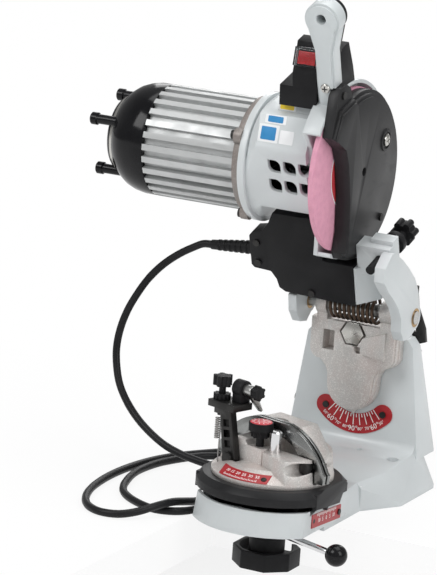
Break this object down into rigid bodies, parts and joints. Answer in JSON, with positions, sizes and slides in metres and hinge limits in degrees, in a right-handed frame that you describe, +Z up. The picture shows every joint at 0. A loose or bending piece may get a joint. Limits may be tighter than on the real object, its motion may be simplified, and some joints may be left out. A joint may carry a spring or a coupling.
{
  "type": "bench chain grinder",
  "caption": "Bench-mounted electric saw-chain grinder: a motor head with a guarded grinding wheel hinged over a tilting, turning chain vise with a hinged stop.",
  "frame": {"origin": "bench top level (foot underside) on the vertical axis of the vise turntable, about which the vise turns", "axes": "+X to the user's right along the wheel and motor axis, +Y away from the user towards the upright, +Z up"},
  "size_m": [0.3262, 0.4714, 0.4875],
  "materials": {
    "paint": "light grey stove enamel, satin",
    "ring_paint": "grey-brown enamel, satin",
    "fin_metal": "extruded, bright",
    "cast_metal": "raw sand casting, satin",
    "black_gloss": "gloss",
    "black_plastic": "fine grain, satin",
    "cover_plastic": "fine grain, matt",
    "black_metal": "black enamel, satin",
    "zinc": "zinc plated",
    "steel": "turned, bright",
    "chrome": "polished",
    "spring_steel": "dark oiled spring wire",
    "red_plate": "printed, satin",
    "red_plastic": "gloss",
    "clear": "clear",
    "abrasive": "vitrified grit, rough",
    "copper": "varnished winding",
    "core": "laminated iron",
    "bronze": "sintered bush",
    "cord": "smooth sheath, satin"
  },
  "bodies": {
    "base": {"base_casting": "paint", "swivel_scale": "red_plate", "tilt_scale": "red_plate", "scale_rivets": "black_metal", "mains_cord": "cord", "cord_coil": "cord", "cord_tie": "black_plastic", "mains_plug": "black_plastic", "plug_pins": "chrome"},
    "swivel": {"swivel_plate": "cast_metal", "swivel_bolt": "zinc", "hinge_shaft": "steel", "torsion_spring": "spring_steel"},
    "swivel_lock": {"swivel_lock_lever": "black_metal"},
    "head": {"head_arm": "paint", "arm_bushes": "bronze", "motor_housing": "paint", "motor_flange": "ring_paint", "motor_shell": "fin_metal", "motor_cap": "black_gloss", "motor_stator": "copper", "motor_bearings": "steel", "wheel_guard_inner": "paint", "wheel_guard_cover": "cover_plastic", "head_screws": "black_metal", "lift_handle": "paint", "handle_backing": "black_plastic", "switch_housing": "black_plastic", "wiring_box": "black_plastic", "strain_relief": "black_plastic"},
    "rocker": {"switch_rocker": "red_plastic"},
    "flap": {"switch_flap": "clear"},
    "rotor": {"rotor_shaft": "steel", "rotor_core": "core", "cooling_fan": "black_plastic", "wheel_flanges": "cast_metal", "grinding_wheel": "abrasive", "wheel_nut": "steel"},
    "depth_stop": {"depth_stop_screw": "black_plastic"},
    "depth_lock": {"depth_lock_knob": "black_plastic"},
    "tilt_table": {"tilt_platform": "black_plastic", "clamp_bolt": "steel"},
    "clamp_knob": {"octagon_knob": "black_plastic"},
    "cam": {"cam_lever": "chrome", "lever_ball": "black_gloss"},
    "turntable": {"turntable": "cast_metal", "turn_scale": "red_plate", "rear_clamp_plate": "zinc", "jaw_bolts": "black_metal", "guide_pin": "chrome", "arm_pivot_bolt": "black_metal"},
    "dial": {"adjuster_dial": "black_plastic"},
    "front_plate": {"front_clamp_plate": "zinc"},
    "stop_arm": {"stop_arm": "black_plastic", "arm_spring": "zinc", "pawl_block": "black_plastic"},
    "stop_screw": {"stop_screw": "black_plastic"},
    "stop_nut": {"stop_nut": "black_plastic"},
    "pawl_shaft": {"pawl_shaft": "black_plastic"},
    "pawl": {"chain_pawl": "black_metal"}
  },
  "joints": [
    {"name": "head_swivel", "type": "hinge", "parent": "base", "child": "swivel", "pos_m": [0, 0.155, 0.089], "axis": [0, 1, 0], "range_deg": [-40, 40], "deforming": ["mains_cord"]},
    {"name": "swivel_lock", "type": "hinge", "parent": "swivel", "child": "swivel_lock", "pos_m": [0, 0.19, 0.1376], "axis": [0, 1, 0], "range_deg": [-60, 0]},
    {"name": "head_lift", "type": "hinge", "parent": "swivel", "child": "head", "pos_m": [0, 0.1514, 0.1607], "axis": [1, 0, 0], "range_deg": [0, 66], "stiffness_Nm_per_rad": 6, "springref_deg": -57.3, "deforming": ["torsion_spring", "mains_cord"]},
    {"name": "switch_rock", "type": "hinge", "parent": "head", "child": "rocker", "pos_m": [-0.022, 0.05578, 0.39174], "axis": [1, 0, 0], "range_deg": [-8, 8]},
    {"name": "flap_hinge", "type": "hinge", "parent": "head", "child": "flap", "pos_m": [-0.022, 0.05489, 0.40007], "axis": [1, 0, 0], "range_deg": [-75, 0]},
    {"name": "wheel_spin", "type": "hinge", "parent": "head", "child": "rotor", "pos_m": [0, 0.10693, 0.29208], "axis": [1, 0, 0], "continuous": true},
    {"name": "depth_stop_slide", "type": "slide", "parent": "head", "child": "depth_stop", "axis": [0, 0.9472, 0.3206], "range_m": [-0.005, 0.005]},
    {"name": "depth_lock_turn", "type": "hinge", "parent": "head", "child": "depth_lock", "pos_m": [0.038, 0.12928, 0.22606], "axis": [0, 0.9472, 0.3206], "range_deg": [-180, 180]},
    {"name": "vise_tilt", "type": "hinge", "parent": "base", "child": "tilt_table", "pos_m": [0, 0, 0.095], "axis": [1, 0, 0], "range_deg": [-10, 10]},
    {"name": "clamp_knob_turn", "type": "hinge", "parent": "tilt_table", "child": "clamp_knob", "pos_m": [0, 0, -0.03], "axis": [0, 0, 1], "range_deg": [-180, 180]},
    {"name": "cam_turn", "type": "hinge", "parent": "tilt_table", "child": "cam", "pos_m": [0, 0, -0.008], "axis": [0, 0, -1], "range_deg": [0, 60]},
    {"name": "vise_turn", "type": "hinge", "parent": "tilt_table", "child": "turntable", "pos_m": [0, 0, 0.05], "axis": [0, 0, 1], "range_deg": [-17, 53]},
    {"name": "dial_turn", "type": "hinge", "parent": "turntable", "child": "dial", "pos_m": [-0.00665, -0.01561, 0.08], "axis": [0, 0, 1], "range_deg": [-180, 180]},
    {"name": "plate_slide", "type": "slide", "parent": "turntable", "child": "front_plate", "axis": [0.309, 0.9511, 0], "range_m": [-0.0002, 0.0007]},
    {"name": "stop_arm_swing", "type": "hinge", "parent": "turntable", "child": "stop_arm", "pos_m": [-0.03139, -0.01893, 0.054], "axis": [0.309, 0.9511, 0], "range_deg": [-35, 0], "deforming": ["arm_spring"]},
    {"name": "stop_screw_turn", "type": "hinge", "parent": "stop_arm", "child": "stop_screw", "pos_m": [-0.0496, -0.00702, 0.1], "axis": [0, 0, 1], "range_deg": [-180, 180]},
    {"name": "stop_nut_turn", "type": "hinge", "parent": "stop_arm", "child": "stop_nut", "pos_m": [-0.0496, -0.00702, 0.103], "axis": [0, 0, 1], "range_deg": [-180, 180]},
    {"name": "pawl_shaft_turn", "type": "hinge", "parent": "stop_arm", "child": "pawl_shaft", "pos_m": [-0.02366, -0.00809, 0.112], "axis": [0.9511, -0.309, 0], "range_deg": [-180, 180]},
    {"name": "pawl_flip", "type": "hinge", "parent": "stop_arm", "child": "pawl", "pos_m": [-0.02366, -0.00809, 0.112], "axis": [-0.9511, 0.309, 0], "range_deg": [-70, 0]}
  ],
  "couplings": [
    {"joint": "plate_slide", "follows": "cam_turn", "m_per_rad": 0.00057}
  ]
}
